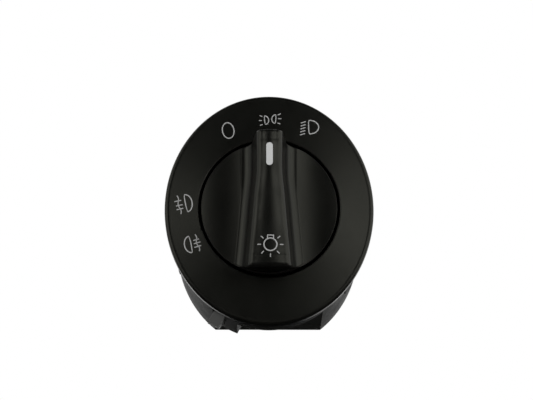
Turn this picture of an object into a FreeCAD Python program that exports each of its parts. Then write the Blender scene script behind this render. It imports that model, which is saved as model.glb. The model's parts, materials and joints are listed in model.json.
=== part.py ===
import FreeCAD, Part
import math
import os

# Rotary headlight switch for a dashboard, all sizes in millimetres.
# The knob turns between off, parking lights and low beam, pulls out in two steps for the fog
# lights, and pushes in to drive the latch ring that draws the two dash hooks back.
# Every piece is drawn with the knob axis along +Z, toward the driver, and height zero on the
# dash face. save() then turns it into the car's frame: face toward -Y, +Z up, origin on the
# knob axis at the dash face.

V = FreeCAD.Vector

# Bezel, the oval front plate
bezel_half_width = 37.0
bezel_half_height = 41.8
bezel_rim_height = 3.2
bezel_face_rise = 1.6
bezel_wall = 2.0
bezel_edge_round = 1.1
bezel_groove_width = 0.5
bezel_groove_depth = 0.45
bezel_hole_lip = 0.5
bezel_tube_wall = 1.5
snap_leg_inset = 1.3
snap_leg_width = 6.0
snap_leg_thickness = 1.6
snap_nose = 0.8
snap_leg_angles = (25, 147, 216, 335)

# Knob with its bar handle
knob_radius = 24.0
knob_gap = 0.9
knob_disc_height = 5.4
knob_edge_round = 0.5
knob_wall = 1.6
knob_roof = 2.0
knob_skirt_depth = 8.8
knob_scoop_depth = 0.7
knob_scoop_radius = 42.0
knob_scoop_offset = 5.0
knob_rib_width = 1.2
knob_rib_depth = 4.0
knob_boss_radius = 6.5
knob_boss_depth = 6.0
knob_dog_depth = 2.2
knob_dog_half_angle = 6.0
handle_height = 13.0
handle_reach_top = 25.3
handle_reach_bottom = 23.9
handle_half_width_top = 4.65
handle_half_width_bottom = 7.75
handle_crown = 0.5
handle_edge_round = 2.2
handle_foot_round = 3.4
handle_draft = 1.2
handle_wall = 2.4
handle_foot_inset = 0.2
handle_end_drops = ((0.0, 4.8), (0.45, 2.8), (1.2, 1.3), (2.4, 0.4), (3.8, 0.0))
handle_station_shares = (-0.17, 0.0, 0.2, 0.47, 0.73)
handle_cavity_end_wall = 4.1
pointer_width = 2.3
pointer_length = 8.3
pointer_centre_y = 16.0
pointer_flange = 0.7

# Travels of the moving pieces
turn_angle = 30.0
pull_travel = 7.0
push_travel = 2.5
release_angle = 20.0
hook_travel = 4.0

# Clearances
running_clearance = 0.06
slide_clearance = 0.06
moving_gap = 0.2
part_gap = 0.3

# Housing: oval collar in the dash opening, then a drum with flat top and bottom
collar_clearance = 0.2
collar_wall = 2.0
collar_depth = 15.5
drum_inset = 0.6
drum_wall = 2.0
drum_flat = 32.0
shelf_thickness = 1.6
front_plate_depth = 2.2
front_plate_thickness = 1.8
well_depth = 9.0
well_wall = 1.7
floor_thickness = 1.8
bearing_wall = 2.4
bearing_depth = 5.5
locating_rib_angles = (138, 318)
locating_rib_height = 1.4
locating_rib_width = 3.0
drum_rib_width = 1.4
drum_rib_angles = (-20, 0, 20, 160, 180, 200)
ledge_reach = 2.4
ledge_half_width = 6.0
cheek_width = 5.0
cheek_depth = 34.0

# Latch ring and hooks
ring_inner_radius = 17.5
ring_outer_radius = 26.3
ring_thickness = 2.3
ring_guide_wall = 1.6
hook_angles = (242, 62)
hook_reach = 42.3
hook_width = 4.6
hook_plate_width = 8.0
hook_plate_thickness = 2.1
hook_inner_radius = 19.0
hook_neck_radius = 29.5
hook_step_radius = 32.5
hook_grip_depth = 19.0
hook_back_depth = 28.0
hook_pin_orbit = 24.0
hook_pin_radius = 1.4
hook_slot_clearance = 0.2
tab_half_angle = 6.0
tab_gap_angle = 1.0
tab_thickness = 1.4
latch_spring_orbit = 21.5
latch_spring_radius = 1.15
latch_spring_wire = 0.22
latch_spring_start = -35.0
latch_spring_end = 3.0
latch_peg_angle = 3.0
latch_spring_turns = 8
latch_spring_runs = 10

# Inner plate behind the hooks
inner_plate_thickness = 1.8
inner_plate_hole = 12.4
inner_screw_angles = (5, 125, 300)
inner_screw_radius = 1.0
inner_screw_head = 2.1
inner_screw_head_height = 1.2
inner_boss_radius = 2.6

# Rotor
hub_radius = 8.0
hub_front_reach = 1.6
rotor_neck_radius = 12.0
rotor_radius = 18.0
rotor_length = 11.0
rotor_wall = 2.0
rotor_core_wall = 2.6
detent_notch_radius = 1.6
detent_notch_depth = 1.2
detent_post_x = 21.2
detent_post_y = 12.0
detent_width = 5.0
detent_thickness = 0.4
detent_nose_gap = 0.4
clip_thickness = 0.8
clip_groove = 0.8
clip_reach = 2.0

# Shaft
shaft_side = 6.0
shaft_round_radius = 2.6
shaft_neck_radius = 1.7
shaft_square_end = 32.8
shaft_pin_radius = 1.0
push_spring_radius = 5.4
push_spring_wire = 0.35
pull_clip_wire = 0.45
pull_notch_radius = 0.65
pull_clip_inset = 3.2
push_spring_turns = 3
push_spring_runs = 16

# Wipers, board and light pipes
wiper_room = 4.6
wiper_thickness = 0.3
wiper_width = 2.4
wiper_angles = (90, 210, 330)
track_height = 0.15
track_inner_radius = 10.2
track_outer_radius = 13.4
track_spare_angle = 8.0
board_thickness = 1.6
led_height = 1.3
led_side = 3.0
pipe_radius = 1.2
pipe_hole_radius = 1.5
pipe_angles = (100.4, 190.0)
pipe_inset = 1.15
guide_clearance = 0.5
guide_width = 4.8
guide_thickness = 2.2
guide_top_arc = (54, 126)
guide_side_arc = (165, 206)

# Fog slide
slide_room = 1.3
slide_length = 6.0
slide_half_width = 16.0
slide_half_height = 4.2
slide_fork = 2.2
guide_post_x = 13.0
guide_post_radius = 1.6
rail_thickness = 0.8
rail_half_width = 2.0
rail_y = 6.4
stop_inset = 5.2
stop_width = 3.0

# Rear cover, connector and screws
cover_wall = 2.0
cover_skirt = 6.4
cover_tongue = 1.2
cover_clearance = 0.4
cover_screw_angle = 49.4
cover_screw_inset = 2.45
cover_screw_radius = 1.2
cover_screw_head = 2.6
cover_screw_head_height = 1.8
cover_boss_radius = 2.8
shroud_half_width = 21.5
shroud_height = 16.0
shroud_centre_y = -13.2
shroud_wall = 1.8
shroud_length = 12.0
blade_rows = (9, 8)
blade_pitch = 4.3
blade_width = 2.2
blade_thickness = 0.8
blade_row_gap = 6.2
blade_reach = 6.6

# Heights worked out from the sizes above, negative behind the dash face
plate_front = -front_plate_depth
plate_back = plate_front - front_plate_thickness
floor_front = -well_depth
floor_back = floor_front - floor_thickness
ring_front = floor_back - moving_gap
ring_back = ring_front - ring_thickness
hook_front = ring_back - moving_gap
hook_plate_back = hook_front - hook_plate_thickness
inner_front = hook_plate_back - moving_gap
inner_back = inner_front - inner_plate_thickness
rotor_front = inner_back - moving_gap * 2
rotor_back = rotor_front - rotor_length
board_front = rotor_back - wiper_room
board_back = board_front - board_thickness
slide_front = board_back - pull_travel - slide_room
slide_back = slide_front - slide_length
cover_inner = slide_back - push_travel - cover_clearance
cover_outer = cover_inner - cover_wall
drum_back = cover_inner + cover_skirt
shroud_back = cover_outer - shroud_length
hub_front = floor_front + hub_front_reach
skirt_bottom = knob_disc_height - knob_skirt_depth
handle_top = knob_disc_height + handle_height
shaft_back = slide_back + moving_gap
fork_middle = (slide_front + slide_back) / 2
post_front = inner_back - inner_screw_head_height - part_gap
pull_clip_height = rotor_back + pull_clip_inset
pull_steps = (0.0, pull_travel / 2, pull_travel)

# Radii and half sizes worked out from the sizes above
hole_radius = knob_radius + knob_gap
tube_radius = hole_radius + bezel_tube_wall
well_radius = hole_radius + moving_gap
well_outer = well_radius + well_wall
collar_half_width = bezel_half_width - bezel_wall - collar_clearance
collar_half_height = bezel_half_height - bezel_wall - collar_clearance
drum_half_width = collar_half_width - drum_inset
drum_half_height = collar_half_height - drum_inset
drum_in_width = drum_half_width - drum_wall
drum_in_height = drum_half_height - drum_wall
drum_in_flat = drum_flat - drum_wall
snap_leg_radius = min(collar_half_width, collar_half_height) - collar_wall - snap_leg_inset
guide_outer_radius = min(collar_half_width, collar_half_height) - collar_wall - guide_clearance
guide_inner_radius = guide_outer_radius - guide_width
inner_screw_orbit = min(drum_in_width, drum_in_height) - inner_boss_radius - part_gap
stop_outer = drum_in_width - stop_inset
pipe_orbit = well_outer + pipe_inset
bore_radius = hub_radius + running_clearance
core_radius = shaft_side / 2 * math.sqrt(2) + rotor_core_wall
tab_outer = knob_radius - moving_gap / 2
tab_inner = tab_outer - tab_thickness
dog_angles = (90, 270)
flare_start = pointer_centre_y - pointer_length / 2


def oval_reach(half_width, half_height, angle):
    """Distance from the axis to an oval's edge at an angle."""
    a = math.radians(angle)
    return 1 / math.hypot(math.cos(a) / half_width, math.sin(a) / half_height)


def polar(radius, angle, z=0.0):
    """Point at a radius and an angle in degrees about the knob axis."""
    a = math.radians(angle)
    return V(radius * math.cos(a), radius * math.sin(a), z)


def oval_wire(half_width, half_height, z):
    """Closed oval about the knob axis, started at its top so that lofts don't twist."""
    if half_height > half_width:
        curve = Part.Ellipse(V(0, half_height, z), V(half_width, 0, z), V(0, 0, z))
        return Part.Wire(curve.toShape())
    curve = Part.Ellipse(V(0, 0, z), half_width, half_height).toShape()
    if half_width == half_height:
        curve.rotate(V(0, 0, z), V(0, 0, 1), 90)
    return Part.Wire(curve)


def circle_wire(radius, z):
    """Closed circle about the knob axis, started at its top."""
    curve = Part.Circle(V(0, 0, z), V(0, 0, 1), radius).toShape()
    curve.rotate(V(0, 0, z), V(0, 0, 1), 90)
    return Part.Wire(curve)


def oval(half_width, half_height, z_low, z_high):
    """Solid oval prism about the knob axis."""
    face = Part.Face(oval_wire(half_width, half_height, z_low))
    return face.extrude(V(0, 0, z_high - z_low))


def clipped_oval(half_width, half_height, flat, z_low, z_high):
    """Oval prism with a flat top and bottom."""
    limits = block(-half_width - 1, half_width + 1, -flat, flat, z_low, z_high)
    return oval(half_width, half_height, z_low, z_high).common(limits)


def disc(radius, z_low, z_high, x=0.0, y=0.0):
    """Solid cylinder along the knob axis direction."""
    return Part.makeCylinder(radius, z_high - z_low, V(x, y, z_low))


def tube(outer, inner, z_low, z_high, x=0.0, y=0.0):
    """Round tube along the knob axis direction."""
    return disc(outer, z_low, z_high, x, y).cut(disc(inner, z_low - 1, z_high + 1, x, y))


def block(x_low, x_high, y_low, y_high, z_low, z_high):
    """Box from its lowest and highest corners."""
    return Part.makeBox(x_high - x_low, y_high - y_low, z_high - z_low, V(x_low, y_low, z_low))


def sector(outer, inner, start, end, z_low, z_high):
    """Part of a ring between two angles in degrees."""
    piece = Part.makeCylinder(outer, z_high - z_low, V(0, 0, z_low), V(0, 0, 1), end - start)
    piece.rotate(V(0, 0, 0), V(0, 0, 1), start)
    return piece.cut(disc(inner, z_low - 1, z_high + 1))


def turned(shape, angle):
    """Copy of a shape turned about the knob axis."""
    copy = shape.copy()
    copy.rotate(V(0, 0, 0), V(0, 0, 1), angle)
    return copy


def prism(points, direction):
    """Solid made by extruding a closed outline of points."""
    wire = Part.makePolygon(points + [points[0]])
    return Part.Face(wire).extrude(direction)


def joined(shapes):
    """One solid from several that meet."""
    result = shapes[0].fuse(shapes[1:])
    return result.removeSplitter()


def coil(radius, wire_radius, length, turns, runs):
    """Round wire wound along +Z from height zero, in short straight runs with mitred corners."""
    climb = (length - 2 * wire_radius) / (turns * runs)
    points = [polar(radius, 360 / runs * i, wire_radius + climb * i) for i in range(turns * runs + 1)]
    start = Part.Circle(points[0], points[1] - points[0], wire_radius).toShape()
    return Part.makePolygon(points).makePipeShell([Part.Wire(start)], True, False, 1)


def pipe_places():
    """Centres of the two light pipes."""
    return [(polar(pipe_orbit, angle).x, polar(pipe_orbit, angle).y) for angle in pipe_angles]


def cover_screw_places():
    """Centres of the four cover screws, just inside the drum's wall."""
    reach = oval_reach(drum_in_width, drum_in_height, cover_screw_angle) - cover_screw_inset
    place = polar(reach, cover_screw_angle)
    return [(x, y) for x in (-place.x, place.x) for y in (-place.y, place.y)]


def save(name, shape):
    """Turn a piece from the drawing frame into the car's frame and write it."""
    placed = shape.copy()
    placed.rotate(V(0, 0, 0), V(1, 0, 0), 90)
    placed.exportStep("parts/" + name + ".step")
    print(name, "volume", round(placed.Volume, 1), "solids", len(placed.Solids), placed.isValid())


def bezel_snap_leg(angle):
    """Spring leg with an outward nose that grips the back of the housing's front plate."""
    half = snap_leg_thickness / 2
    width = snap_leg_width / 2
    tip = plate_back - part_gap - snap_nose
    leg = block(snap_leg_radius - half, snap_leg_radius + half, -width, width,
                tip, bezel_rim_height - bezel_edge_round / 2)
    outer = snap_leg_radius + half
    nose = prism([V(outer - half, -width, tip), V(outer + snap_nose, -width, tip + snap_nose),
                  V(outer + snap_nose, -width, plate_back), V(outer - half, -width, plate_back)],
                 V(0, snap_leg_width, 0))
    return turned(leg.fuse(nose), angle)


def make_bezel():
    """Oval front plate with a rounded rim, a rising face and the tube that the knob runs in."""
    face_height = bezel_rim_height + bezel_face_rise
    rim = oval(bezel_half_width, bezel_half_height, 0, bezel_rim_height)
    front_edges = [e for e in rim.Edges if e.BoundBox.ZMin > bezel_rim_height - 0.01]
    rim = rim.makeFillet(bezel_edge_round, front_edges)
    inset = bezel_edge_round + bezel_groove_width
    face = Part.makeLoft([oval_wire(bezel_half_width - inset, bezel_half_height - inset, bezel_rim_height),
                          circle_wire(hole_radius + bezel_hole_lip, face_height)], True, True)
    groove = oval(bezel_half_width - bezel_edge_round, bezel_half_height - bezel_edge_round,
                  bezel_rim_height - bezel_groove_depth, bezel_rim_height + 1)
    groove = groove.cut(oval(bezel_half_width - inset, bezel_half_height - inset,
                             bezel_rim_height - bezel_groove_depth, bezel_rim_height + 1))
    shell = rim.cut(groove).fuse(face)
    inner_width = bezel_half_width - bezel_wall
    inner_height = bezel_half_height - bezel_wall
    under_rim = bezel_rim_height - bezel_wall
    shell = shell.cut(oval(inner_width, inner_height, -1, under_rim))
    shell = shell.cut(Part.makeLoft([oval_wire(inner_width, inner_height, under_rim),
                                     circle_wire(tube_radius, face_height - bezel_wall)], True, True))
    shell = shell.fuse(disc(tube_radius, plate_front, face_height - bezel_wall / 2))
    for angle in snap_leg_angles:
        shell = shell.fuse(bezel_snap_leg(angle))
    lip_start = face_height - bezel_hole_lip
    lip_outer = hole_radius + bezel_hole_lip
    middle = bezel_hole_lip * (1 - math.sqrt(0.5))
    arc = Part.Arc(V(hole_radius, 0, lip_start), V(hole_radius + middle, 0, face_height - middle),
                   V(lip_outer, 0, face_height)).toShape()
    outline = Part.makePolygon([V(lip_outer, 0, face_height), V(lip_outer, 0, face_height + 2),
                                V(0, 0, face_height + 2), V(0, 0, plate_front - 1),
                                V(hole_radius, 0, plate_front - 1), V(hole_radius, 0, lip_start)])
    hole = Part.Face(Part.Wire([arc] + outline.Edges)).revolve(V(0, 0, 0), V(0, 0, 1), 360)
    return shell.cut(hole).removeSplitter()


def make_light_guide():
    """Clear arc behind the bezel's symbols, with two light pipes back to the board."""
    top = plate_front + guide_thickness
    inner, outer = guide_inner_radius, guide_outer_radius
    arcs = [sector(outer, inner, guide_top_arc[0], guide_top_arc[1], plate_front, top),
            sector(inner + 2, inner, guide_top_arc[1] - 1, guide_side_arc[0] + 1, plate_front, top),
            sector(outer, inner, guide_side_arc[0], guide_side_arc[1], plate_front, top)]
    pipes = [disc(pipe_radius, board_front + led_height + moving_gap, plate_front + 1, x, y)
             for x, y in pipe_places()]
    return joined(arcs + pipes)


def housing_hook_window(angle):
    """Opening through the collar and the drum for one hook and its travel."""
    half = hook_width / 2 + part_gap
    window = block(hook_neck_radius - hook_travel - part_gap, bezel_half_height + 4, -half, half,
                   -hook_back_depth - part_gap, hook_front + part_gap)
    return turned(window, angle)


def tab_slot(start):
    """Arc slot in the well floor for one upright tab of the latch ring."""
    return sector(tab_outer + part_gap, tab_inner - part_gap, start - tab_half_angle - tab_gap_angle,
                  start + tab_half_angle + release_angle + tab_gap_angle, floor_back - 1, floor_front + 1)


def tab_angle(dog_angle):
    """Rest angle of the tab that a knob dog meets just past the off position."""
    return dog_angle + turn_angle + knob_dog_half_angle + tab_half_angle + tab_gap_angle


def screw_post(x, y, z_low, z_high, radius, pilot, pilot_top):
    """Round post with a blind pilot hole from its rear end."""
    return disc(radius, z_low, z_high, x, y), disc(pilot, z_low - 1, pilot_top, x, y)


def make_front_housing():
    """Collar, drum, front plate, knob well and bearing, moulded in one piece."""
    collar = oval(collar_half_width, collar_half_height, -collar_depth - shelf_thickness,
                  bezel_rim_height - bezel_wall - part_gap)
    collar = collar.cut(oval(collar_half_width - collar_wall, collar_half_height - collar_wall,
                             -collar_depth, bezel_rim_height))
    drum = clipped_oval(drum_half_width, drum_half_height, drum_flat, drum_back,
                        -collar_depth - shelf_thickness / 2)
    body = collar.fuse(drum)
    body = body.cut(clipped_oval(drum_in_width, drum_in_height, drum_in_flat, drum_back - 1, -collar_depth + 1))
    body = body.fuse(oval(collar_half_width - collar_wall / 2, collar_half_height - collar_wall / 2,
                          plate_back, plate_front))
    body = body.fuse(disc(well_outer, floor_back, plate_front - front_plate_thickness / 2))
    body = body.cut(disc(well_radius, floor_front, plate_front + 1))
    body = body.fuse(disc(bore_radius + bearing_wall, floor_front - bearing_depth, floor_back + 0.5))
    body = body.fuse(tube(ring_inner_radius - 0.1, ring_inner_radius - 0.1 - ring_guide_wall,
                          ring_back, floor_back + 0.5))
    peg = sector(latch_spring_orbit + 1.5, latch_spring_orbit - 1.5, latch_spring_end,
                 latch_spring_end + latch_peg_angle, ring_back, floor_back + 0.5)
    body = body.fuse(peg)
    body = body.cut(disc(bore_radius, floor_back - bearing_depth, floor_front + 1))
    for angle in dog_angles:
        body = body.cut(tab_slot(tab_angle(angle)))
    for angle in inner_screw_angles:
        place = polar(inner_screw_orbit, angle)
        post, pilot = screw_post(place.x, place.y, inner_front, plate_back + 0.5, inner_boss_radius,
                                 inner_screw_radius + 0.05, plate_back - 2)
        body = body.fuse(post).cut(pilot)
    inside = clipped_oval(drum_half_width, drum_half_height, drum_flat, drum_back, -collar_depth)
    for x, y in cover_screw_places():
        post, pilot = screw_post(x, y, drum_back, post_front, cover_boss_radius,
                                 cover_screw_radius + 0.05, drum_back + 12)
        body = body.fuse(post.common(inside)).cut(pilot)
    for side in (-1, 1):
        ledge = block(drum_in_width - ledge_reach, drum_in_width + drum_wall / 2, -ledge_half_width,
                      ledge_half_width, board_front, post_front)
        ledge = ledge.common(inside)
        body = body.fuse(ledge if side > 0 else ledge.mirror(V(0, 0, 0), V(1, 0, 0)))
    for x, y in pipe_places():
        body = body.cut(disc(pipe_hole_radius, floor_back - 1, plate_front + 1, x, y))
    for angle in snap_leg_angles:
        half = snap_leg_thickness / 2 + part_gap
        slot = block(snap_leg_radius - half, snap_leg_radius + half + snap_nose, -snap_leg_width / 2 - part_gap,
                     snap_leg_width / 2 + part_gap, plate_back - 1, plate_front + 1)
        body = body.cut(turned(slot, angle))
    for angle in locating_rib_angles:
        reach = oval_reach(collar_half_width, collar_half_height, angle)
        body = body.fuse(long_rib(angle, reach - 1, reach + locating_rib_height, locating_rib_width,
                                  -collar_depth, -collar_depth / 3))
    for angle in drum_rib_angles:
        reach = oval_reach(collar_half_width, collar_half_height, angle) - 0.05
        body = body.fuse(long_rib(angle, reach - drum_inset - 1, reach, drum_rib_width, drum_back,
                                  -collar_depth - shelf_thickness / 2))
    for angle in hook_angles:
        body = body.fuse(hook_cheeks(angle)).cut(housing_hook_window(angle))
    return body.removeSplitter()


def long_rib(angle, inner, outer, width, z_low, z_high):
    """Straight rib along the housing at an angle about the axis."""
    return turned(block(inner, outer, -width / 2, width / 2, z_low, z_high), angle)


def hook_cheeks(angle):
    """Two cheeks on the drum that guide a hook on both sides, within the collar's outline."""
    inner = hook_width / 2 + part_gap
    pair = block(hook_neck_radius, bezel_half_height, -inner - cheek_width, inner + cheek_width,
                 -cheek_depth, -collar_depth)
    pair = turned(pair, angle).common(oval(collar_half_width, collar_half_height, -cheek_depth, -collar_depth))
    return pair.cut(clipped_oval(drum_in_width, drum_in_height, drum_in_flat, -cheek_depth - 1, -collar_depth + 1))


def spiral_slot(angle):
    """Slot in the latch ring whose spiral draws a hook pin inward as the ring turns."""
    half = hook_pin_radius + hook_slot_clearance
    spare = 1.0
    steps = 8

    def centre(turn):
        return polar(hook_pin_orbit - hook_travel * turn / release_angle, angle - turn)

    def side(sign):
        points = []
        for i in range(steps + 1):
            turn = -spare + (release_angle + 2 * spare) * i / steps
            along = centre(turn + 0.1) - centre(turn - 0.1)
            along.normalize()
            points.append(centre(turn) + V(-along.y, along.x, 0) * half * sign)
        return points

    left, right = side(1), side(-1)
    first = centre(-spare)
    last = centre(release_angle + spare)
    back = (centre(-spare) - centre(release_angle * 0.05)).normalize() * half
    ahead = (centre(release_angle + spare) - centre(release_angle * 0.95)).normalize() * half
    one = Part.BSplineCurve()
    one.interpolate(left)
    two = Part.BSplineCurve()
    two.interpolate(right)
    caps = [Part.Arc(right[0], first + back, left[0]).toShape(),
            Part.Arc(left[-1], last + ahead, right[-1]).toShape()]
    outline = Part.Wire(Part.__sortEdges__([one.toShape(), two.toShape()] + caps))
    slot = Part.Face(outline).extrude(V(0, 0, ring_thickness + 2))
    slot.translate(V(0, 0, ring_back - 1))
    return slot


def make_latch_ring():
    """Ring under the well floor: two spiral slots, two upright tabs and a window for its spring."""
    ring = tube(ring_outer_radius, ring_inner_radius, ring_back, ring_front)
    for angle in hook_angles:
        ring = ring.cut(spiral_slot(angle))
    window_start = latch_spring_start - 1.0
    window_end = latch_spring_end + latch_peg_angle + release_angle + 1.5
    ring = ring.cut(sector(latch_spring_orbit + 1.9, latch_spring_orbit - 2.7, window_start, window_end,
                           ring_back - 1, ring_front + 1))
    for angle in dog_angles:
        start = tab_angle(angle)
        ring = ring.fuse(sector(tab_outer, tab_inner, start - tab_half_angle, start + tab_half_angle,
                                ring_back + 0.5, skirt_bottom - push_travel - part_gap))
    return ring.removeSplitter()


def make_latch_spring():
    """Small coil between the housing's peg and the end of the ring's window."""
    start = polar(latch_spring_orbit, latch_spring_start)
    end = polar(latch_spring_orbit, latch_spring_end)
    length = (end - start).Length - 0.6
    spring = coil(latch_spring_radius - latch_spring_wire, latch_spring_wire, length, latch_spring_turns,
                  latch_spring_runs)
    direction = (end - start).normalize()
    spring.Placement = FreeCAD.Placement(V(0, 0, 0), FreeCAD.Rotation(V(0, 0, 1), direction))
    spring.translate(start + direction * 0.3 + V(0, 0, (ring_front + ring_back) / 2))
    return spring


def make_latch_hook(angle):
    """Sliding hook: a plate with a pin in the ring's slot, and a tooth that grips the dash."""
    half = hook_width / 2
    slope = hook_reach - 6.0
    tooth = prism([V(hook_inner_radius, -half, hook_front), V(hook_step_radius, -half, hook_front),
                   V(hook_step_radius, -half, -hook_grip_depth), V(hook_reach, -half, -hook_grip_depth),
                   V(hook_reach, -half, -hook_grip_depth - 2.5), V(slope, -half, -hook_back_depth),
                   V(hook_neck_radius, -half, -hook_back_depth), V(hook_neck_radius, -half, hook_plate_back),
                   V(hook_inner_radius, -half, hook_plate_back)], V(0, hook_width, 0))
    plate = block(hook_inner_radius, hook_neck_radius - hook_travel, -hook_plate_width / 2, hook_plate_width / 2,
                  hook_plate_back, hook_front)
    pin = disc(hook_pin_radius, hook_front - 0.5, ring_front - 0.1, hook_pin_orbit, 0)
    return turned(joined([tooth, plate, pin]), angle)


def make_inner_plate():
    """Plate behind the hooks: slide rails, detent posts, and holes for rotor, screws and pipes."""
    plate = clipped_oval(drum_in_width - part_gap, drum_in_height - part_gap, drum_in_flat - part_gap,
                         inner_back, inner_front)
    rail_inner = hook_plate_width / 2 + 0.1
    for angle in hook_angles:
        for side in (-1, 1):
            low, high = sorted((side * rail_inner, side * (rail_inner + 1.5)))
            rail = block(hook_inner_radius - hook_travel + 0.5, hook_neck_radius - hook_travel, low, high,
                         inner_front - 0.5, ring_back - part_gap)
            plate = plate.fuse(turned(rail, angle))
        plate = plate.cut(housing_hook_window(angle))
    for side in (-1, 1):
        post = block(detent_post_x - 1.8, detent_post_x + 2.2, detent_post_y - 1.6, detent_post_y + 1.6,
                     inner_back - detent_width - 1.0, inner_front - 0.5)
        slot = block(detent_post_x - part_gap, detent_post_x + detent_thickness + part_gap, 0, detent_post_y + 0.9,
                     inner_back - detent_width - 2.0, inner_back - part_gap)
        part = post.cut(slot)
        plate = plate.fuse(part if side > 0 else part.mirror(V(0, 0, 0), V(0, 1, 0)))
    plate = plate.cut(disc(inner_plate_hole, inner_back - 1, inner_front + 1))
    for angle in inner_screw_angles:
        place = polar(inner_screw_orbit, angle)
        plate = plate.cut(disc(inner_screw_radius + 0.15, inner_back - 1, inner_front + 1, place.x, place.y))
    for x, y in pipe_places():
        plate = plate.cut(disc(pipe_hole_radius, inner_back - 1, inner_front + 1, x, y))
    return plate.removeSplitter()


def make_detent_spring():
    """Leaf spring whose nose drops into the rotor's three notches."""
    nose = rotor_radius - detent_notch_depth + detent_nose_gap
    shoulder = detent_post_x - 0.5
    end_y = detent_post_y + 0.6
    front = [V(detent_post_x, -end_y, 0), V(shoulder, -4, 0), V(nose + 0.5, -0.7, 0), V(nose, 0, 0),
             V(nose + 0.5, 0.7, 0), V(shoulder, 4, 0), V(detent_post_x, end_y, 0)]
    back = [p + V(detent_thickness, 0, 0) for p in reversed(front)]
    leaf = prism(front + back, V(0, 0, detent_width))
    leaf.translate(V(0, 0, rotor_front - detent_width - part_gap))
    return leaf


def make_inner_screws():
    """Three small screws that hold the inner plate to the front housing."""
    screws = []
    for angle in inner_screw_angles:
        place = polar(inner_screw_orbit, angle)
        head = disc(inner_screw_head, inner_back - inner_screw_head_height, inner_back, place.x, place.y)
        head = head.cut(disc(0.9, inner_back - inner_screw_head_height - 1, inner_back - 0.5, place.x, place.y))
        shank = disc(inner_screw_radius, inner_back - 0.4, plate_back - 3, place.x, place.y)
        screws.append(head.fuse(shank).removeSplitter())
    return Part.makeCompound(screws)


def make_rotor():
    """Rotor: square bored core, bearing hub, drum with three detent notches and wiper ribs."""
    body = disc(hub_radius, rotor_front - 1, hub_front)
    groove_high = floor_front + clip_thickness + 0.1
    groove = tube(hub_radius + 1, hub_radius - clip_groove, floor_front, groove_high)
    body = body.cut(groove)
    body = body.fuse(disc(rotor_neck_radius, rotor_front - 1, floor_front - bearing_depth - moving_gap / 2))
    drum = disc(rotor_radius, rotor_back, rotor_front)
    drum = drum.cut(disc(rotor_radius - rotor_wall, rotor_back - 1, rotor_front - rotor_wall))
    drum = drum.fuse(disc(core_radius, rotor_back, rotor_front))
    for angle in wiper_angles:
        rib = block(core_radius - 1, rotor_radius - rotor_wall + 0.5, -2, 2, rotor_back, rotor_front - rotor_wall / 2)
        drum = drum.fuse(turned(rib, angle))
    body = body.fuse(drum)
    for angle in (-turn_angle, 0, turn_angle):
        notch = disc(detent_notch_radius, rotor_front - detent_width - 1, rotor_front + 1,
                     rotor_radius - detent_notch_depth + detent_notch_radius, 0)
        body = body.cut(turned(notch, angle))
    half = shaft_side / 2 + slide_clearance
    body = body.cut(block(-half, half, -half, half, rotor_back - 1, hub_front + 1))
    clip_z = pull_clip_height
    reach = core_radius + 1
    for side in (-1, 1):
        low, high = sorted((side * (half - 0.7), side * (half + 1.2)))
        body = body.cut(block(low, high, -reach, reach, clip_z - 0.8, clip_z + 0.8))
    return body.removeSplitter()


def make_pull_clip():
    """Hairpin of spring wire in the rotor, its legs lying in the shaft's notches."""
    x = shaft_side / 2 + pull_clip_wire - pull_notch_radius + 0.35
    bend = -core_radius - 1.2
    end = core_radius - 0.5
    path = Part.Wire([Part.LineSegment(V(-x, end, 0), V(-x, bend, 0)).toShape(),
                      Part.Arc(V(-x, bend, 0), V(0, bend - x, 0), V(x, bend, 0)).toShape(),
                      Part.LineSegment(V(x, bend, 0), V(x, end, 0)).toShape()])
    section = Part.Wire(Part.Circle(V(-x, end, 0), V(0, 1, 0), pull_clip_wire).toShape())
    clip = path.makePipeShell([section], True, False)
    clip.translate(V(0, 0, pull_clip_height))
    return clip


def make_rotor_clip():
    """Open spring ring in the hub's groove that keeps the rotor in its bearing."""
    ring = tube(hub_radius + clip_reach, hub_radius - clip_groove + 0.05, floor_front + 0.05,
                floor_front + 0.05 + clip_thickness)
    mouth = sector(hub_radius + clip_reach + 1, 1, 60, 120, floor_front - 1, floor_front + clip_thickness + 1)
    return ring.cut(mouth)


def make_wipers():
    """Three sprung contact arms on the rotor's ribs."""
    tip = board_front + track_height + 0.1
    top = rotor_back
    profile = [V(core_radius, 0, top), V(15.0, 0, top), V(16.2, 0, top - 1.2), V(12.4, 0, tip + 0.3), V(12.0, 0, tip),
               V(11.6, 0, tip), V(11.2, 0, tip + 0.5), V(11.5, 0, tip + 0.7), V(15.4, 0, top - 1.3),
               V(14.7, 0, top - wiper_thickness), V(core_radius, 0, top - wiper_thickness)]
    arm = prism(profile, V(0, wiper_width, 0))
    arm.translate(V(0, -wiper_width / 2, 0))
    return Part.makeCompound([turned(arm, angle) for angle in wiper_angles])


def make_tracks():
    """Three brass arcs on the board that the wipers run on."""
    arcs = []
    for angle in wiper_angles:
        arcs.append(sector(track_outer_radius, track_inner_radius, angle - turn_angle - track_spare_angle,
                           angle + turn_angle + track_spare_angle, board_front, board_front + track_height))
    return Part.makeCompound(arcs)


def make_board():
    """Circuit board across the drum, notched round the screw posts."""
    board = clipped_oval(drum_in_width - part_gap, drum_in_height - part_gap, drum_in_flat - part_gap,
                         board_back, board_front)
    board = board.cut(disc(shaft_side / 2 * math.sqrt(2) + part_gap, board_back - 1, board_front + 1))
    for x, y in cover_screw_places():
        board = board.cut(disc(cover_boss_radius + part_gap, board_back - 1, board_front + 1, x, y))
    return board


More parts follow.
